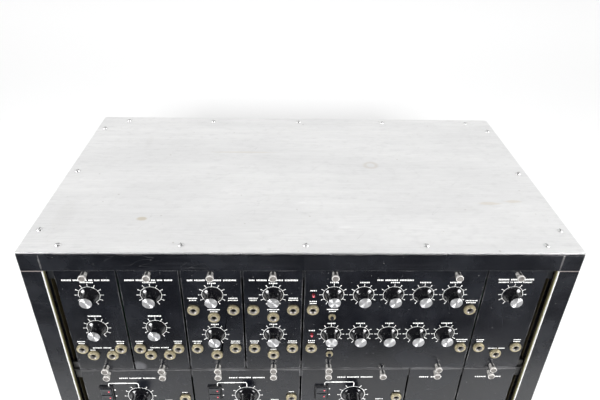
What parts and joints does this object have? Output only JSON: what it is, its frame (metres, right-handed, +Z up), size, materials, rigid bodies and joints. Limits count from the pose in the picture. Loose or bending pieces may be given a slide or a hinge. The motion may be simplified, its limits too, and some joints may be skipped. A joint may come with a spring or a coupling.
{
  "type": "modular synthesizer",
  "caption": "Table-top modular synthesizer: aluminium cabinet with black front bars and rows of black module panels with dials, plug sockets, push buttons and panel screws.",
  "frame": {"origin": "centre of the part's bounding box in plan, on the surface it stands on", "axes": "+X to the right seen from the front, +Y from the panels to the back, +Z up"},
  "size_m": [0.54, 0.3236, 0.3426],
  "materials": {
    "bare_aluminium": "satin",
    "black_bar": "satin",
    "black_panel": "satin",
    "rail_metal": "satin",
    "supply_metal": "satin",
    "circuit_board": "satin",
    "knob_black": "gloss",
    "key_black": "satin",
    "knob_cap": "satin",
    "socket_brass": "satin",
    "chrome": "gloss",
    "screw_steel": "satin",
    "white_print": "satin",
    "red_lamp": "gloss",
    "foot_rubber": "matte"
  },
  "bodies": {
    "cabinet": {"top_plate": "bare_aluminium", "base_tray": "black_bar", "rear_panel": "bare_aluminium", "front_header": "black_bar", "left_side": "black_bar", "right_side": "black_bar", "left_stile": "black_bar", "right_stile": "black_bar", "middle_rail_1": "rail_metal", "power_supply": "supply_metal", "filter_a_panel": "black_panel", "filter_b_panel": "black_panel", "amplifier_a_panel": "black_panel", "amplifier_b_panel": "black_panel", "envelope_panel": "black_panel", "shaper_panel": "black_panel", "oscillator_a_panel": "black_panel", "oscillator_b_panel": "black_panel", "oscillator_c_panel": "black_panel", "mixer_panel": "black_panel", "output_panel": "black_panel", "filter_a_board": "circuit_board", "filter_b_board": "circuit_board", "amplifier_a_board": "circuit_board", "amplifier_b_board": "circuit_board", "envelope_board": "circuit_board", "shaper_board": "circuit_board", "oscillator_a_board": "circuit_board", "oscillator_b_board": "circuit_board", "oscillator_c_board": "circuit_board"},
    "filter_a_cutoff_knob": {"filter_a_cutoff_knob": "knob_black"},
    "filter_a_resonance_knob": {"filter_a_resonance_knob": "knob_black"},
    "filter_b_cutoff_knob": {"filter_b_cutoff_knob": "knob_black"},
    "filter_b_resonance_knob": {"filter_b_resonance_knob": "knob_black"},
    "amplifier_a_level_knob_1": {"amplifier_a_level_knob_1": "knob_black"},
    "amplifier_a_level_knob_2": {"amplifier_a_level_knob_2": "knob_black"},
    "amplifier_b_level_knob_1": {"amplifier_b_level_knob_1": "knob_black"},
    "amplifier_b_level_knob_2": {"amplifier_b_level_knob_2": "knob_black"},
    "envelope_delay_knob_1": {"envelope_delay_knob_1": "knob_black"},
    "envelope_attack_knob_1": {"envelope_attack_knob_1": "knob_black"},
    "envelope_decay_knob_1": {"envelope_decay_knob_1": "knob_black"},
    "envelope_sustain_knob_1": {"envelope_sustain_knob_1": "knob_black"},
    "envelope_release_knob_1": {"envelope_release_knob_1": "knob_black"},
    "envelope_delay_knob_2": {"envelope_delay_knob_2": "knob_black"},
    "envelope_attack_knob_2": {"envelope_attack_knob_2": "knob_black"},
    "envelope_decay_knob_2": {"envelope_decay_knob_2": "knob_black"},
    "envelope_sustain_knob_2": {"envelope_sustain_knob_2": "knob_black"},
    "envelope_release_knob_2": {"envelope_release_knob_2": "knob_black"},
    "shaper_shape_knob": {"shaper_shape_knob": "knob_black"},
    "oscillator_a_tuning_knob": {"oscillator_a_tuning_knob": "knob_black"},
    "oscillator_b_tuning_knob": {"oscillator_b_tuning_knob": "knob_black"},
    "oscillator_c_tuning_knob": {"oscillator_c_tuning_knob": "knob_black"},
    "envelope_trigger_button_1": {"envelope_trigger_button_1": "key_black"},
    "envelope_trigger_button_2": {"envelope_trigger_button_2": "key_black"},
    "oscillator_a_key_1": {"oscillator_a_key_1": "key_black"},
    "oscillator_a_key_2": {"oscillator_a_key_2": "key_black"},
    "oscillator_b_key_1": {"oscillator_b_key_1": "key_black"},
    "oscillator_b_key_2": {"oscillator_b_key_2": "key_black"},
    "oscillator_c_key_1": {"oscillator_c_key_1": "key_black"},
    "oscillator_c_key_2": {"oscillator_c_key_2": "key_black"}
  },
  "joints": [
    {"name": "filter_a_cutoff_turn", "type": "hinge", "parent": "cabinet", "child": "filter_a_cutoff_knob", "pos_m": [-0.21332, -0.14375, 0.28469], "axis": [0, 1, 0], "range_deg": [-150, 150]},
    {"name": "filter_a_resonance_turn", "type": "hinge", "parent": "cabinet", "child": "filter_a_resonance_knob", "pos_m": [-0.21332, -0.14375, 0.23931], "axis": [0, 1, 0], "range_deg": [-150, 150]},
    {"name": "filter_b_cutoff_turn", "type": "hinge", "parent": "cabinet", "child": "filter_b_cutoff_knob", "pos_m": [-0.15238, -0.14375, 0.28469], "axis": [0, 1, 0], "range_deg": [-150, 150]},
    {"name": "filter_b_resonance_turn", "type": "hinge", "parent": "cabinet", "child": "filter_b_resonance_knob", "pos_m": [-0.15238, -0.14375, 0.23931], "axis": [0, 1, 0], "range_deg": [-150, 150]},
    {"name": "amplifier_a_level_turn_1", "type": "hinge", "parent": "cabinet", "child": "amplifier_a_level_knob_1", "pos_m": [-0.09143, -0.14375, 0.28469], "axis": [0, 1, 0], "range_deg": [-150, 150]},
    {"name": "amplifier_a_level_turn_2", "type": "hinge", "parent": "cabinet", "child": "amplifier_a_level_knob_2", "pos_m": [-0.09143, -0.14375, 0.22921], "axis": [0, 1, 0], "range_deg": [-150, 150]},
    {"name": "amplifier_b_level_turn_1", "type": "hinge", "parent": "cabinet", "child": "amplifier_b_level_knob_1", "pos_m": [-0.03047, -0.14375, 0.28469], "axis": [0, 1, 0], "range_deg": [-150, 150]},
    {"name": "amplifier_b_level_turn_2", "type": "hinge", "parent": "cabinet", "child": "amplifier_b_level_knob_2", "pos_m": [-0.03047, -0.14375, 0.22921], "axis": [0, 1, 0], "range_deg": [-150, 150]},
    {"name": "envelope_delay_turn_1", "type": "hinge", "parent": "cabinet", "child": "envelope_delay_knob_1", "pos_m": [0.03047, -0.14375, 0.28469], "axis": [0, 1, 0], "range_deg": [-150, 150]},
    {"name": "envelope_attack_turn_1", "type": "hinge", "parent": "cabinet", "child": "envelope_attack_knob_1", "pos_m": [0.06095, -0.14375, 0.28469], "axis": [0, 1, 0], "range_deg": [-150, 150]},
    {"name": "envelope_decay_turn_1", "type": "hinge", "parent": "cabinet", "child": "envelope_decay_knob_1", "pos_m": [0.09143, -0.14375, 0.28469], "axis": [0, 1, 0], "range_deg": [-150, 150]},
    {"name": "envelope_sustain_turn_1", "type": "hinge", "parent": "cabinet", "child": "envelope_sustain_knob_1", "pos_m": [0.1219, -0.14375, 0.28469], "axis": [0, 1, 0], "range_deg": [-150, 150]},
    {"name": "envelope_release_turn_1", "type": "hinge", "parent": "cabinet", "child": "envelope_release_knob_1", "pos_m": [0.15238, -0.14375, 0.28469], "axis": [0, 1, 0], "range_deg": [-150, 150]},
    {"name": "envelope_delay_turn_2", "type": "hinge", "parent": "cabinet", "child": "envelope_delay_knob_2", "pos_m": [0.03047, -0.14375, 0.22921], "axis": [0, 1, 0], "range_deg": [-150, 150]},
    {"name": "envelope_attack_turn_2", "type": "hinge", "parent": "cabinet", "child": "envelope_attack_knob_2", "pos_m": [0.06095, -0.14375, 0.22921], "axis": [0, 1, 0], "range_deg": [-150, 150]},
    {"name": "envelope_decay_turn_2", "type": "hinge", "parent": "cabinet", "child": "envelope_decay_knob_2", "pos_m": [0.09143, -0.14375, 0.22921], "axis": [0, 1, 0], "range_deg": [-150, 150]},
    {"name": "envelope_sustain_turn_2", "type": "hinge", "parent": "cabinet", "child": "envelope_sustain_knob_2", "pos_m": [0.1219, -0.14375, 0.22921], "axis": [0, 1, 0], "range_deg": [-150, 150]},
    {"name": "envelope_release_turn_2", "type": "hinge", "parent": "cabinet", "child": "envelope_release_knob_2", "pos_m": [0.15238, -0.14375, 0.22921], "axis": [0, 1, 0], "range_deg": [-150, 150]},
    {"name": "shaper_shape_turn", "type": "hinge", "parent": "cabinet", "child": "shaper_shape_knob", "pos_m": [0.21332, -0.14375, 0.28469], "axis": [0, 1, 0], "range_deg": [-150, 150]},
    {"name": "oscillator_a_tuning_turn", "type": "hinge", "parent": "cabinet", "child": "oscillator_a_tuning_knob", "pos_m": [-0.18285, -0.14375, 0.1314], "axis": [0, 1, 0], "range_deg": [-150, 150]},
    {"name": "oscillator_b_tuning_turn", "type": "hinge", "parent": "cabinet", "child": "oscillator_b_tuning_knob", "pos_m": [-0.06095, -0.14375, 0.1314], "axis": [0, 1, 0], "range_deg": [-150, 150]},
    {"name": "oscillator_c_tuning_turn", "type": "hinge", "parent": "cabinet", "child": "oscillator_c_tuning_knob", "pos_m": [0.06095, -0.14375, 0.1314], "axis": [0, 1, 0], "range_deg": [-150, 150]},
    {"name": "envelope_trigger_press_1", "type": "slide", "parent": "cabinet", "child": "envelope_trigger_button_1", "axis": [0, 1, 0], "range_m": [0, 0.0016], "stiffness_N_per_m": 150},
    {"name": "envelope_trigger_press_2", "type": "slide", "parent": "cabinet", "child": "envelope_trigger_button_2", "axis": [0, 1, 0], "range_m": [0, 0.0016], "stiffness_N_per_m": 150},
    {"name": "oscillator_a_press_1", "type": "slide", "parent": "cabinet", "child": "oscillator_a_key_1", "axis": [0, 1, 0], "range_m": [0, 0.0018], "stiffness_N_per_m": 250},
    {"name": "oscillator_a_press_2", "type": "slide", "parent": "cabinet", "child": "oscillator_a_key_2", "axis": [0, 1, 0], "range_m": [0, 0.0018], "stiffness_N_per_m": 250},
    {"name": "oscillator_b_press_1", "type": "slide", "parent": "cabinet", "child": "oscillator_b_key_1", "axis": [0, 1, 0], "range_m": [0, 0.0018], "stiffness_N_per_m": 250},
    {"name": "oscillator_b_press_2", "type": "slide", "parent": "cabinet", "child": "oscillator_b_key_2", "axis": [0, 1, 0], "range_m": [0, 0.0018], "stiffness_N_per_m": 250},
    {"name": "oscillator_c_press_1", "type": "slide", "parent": "cabinet", "child": "oscillator_c_key_1", "axis": [0, 1, 0], "range_m": [0, 0.0018], "stiffness_N_per_m": 250},
    {"name": "oscillator_c_press_2", "type": "slide", "parent": "cabinet", "child": "oscillator_c_key_2", "axis": [0, 1, 0], "range_m": [0, 0.0018], "stiffness_N_per_m": 250}
  ]
}
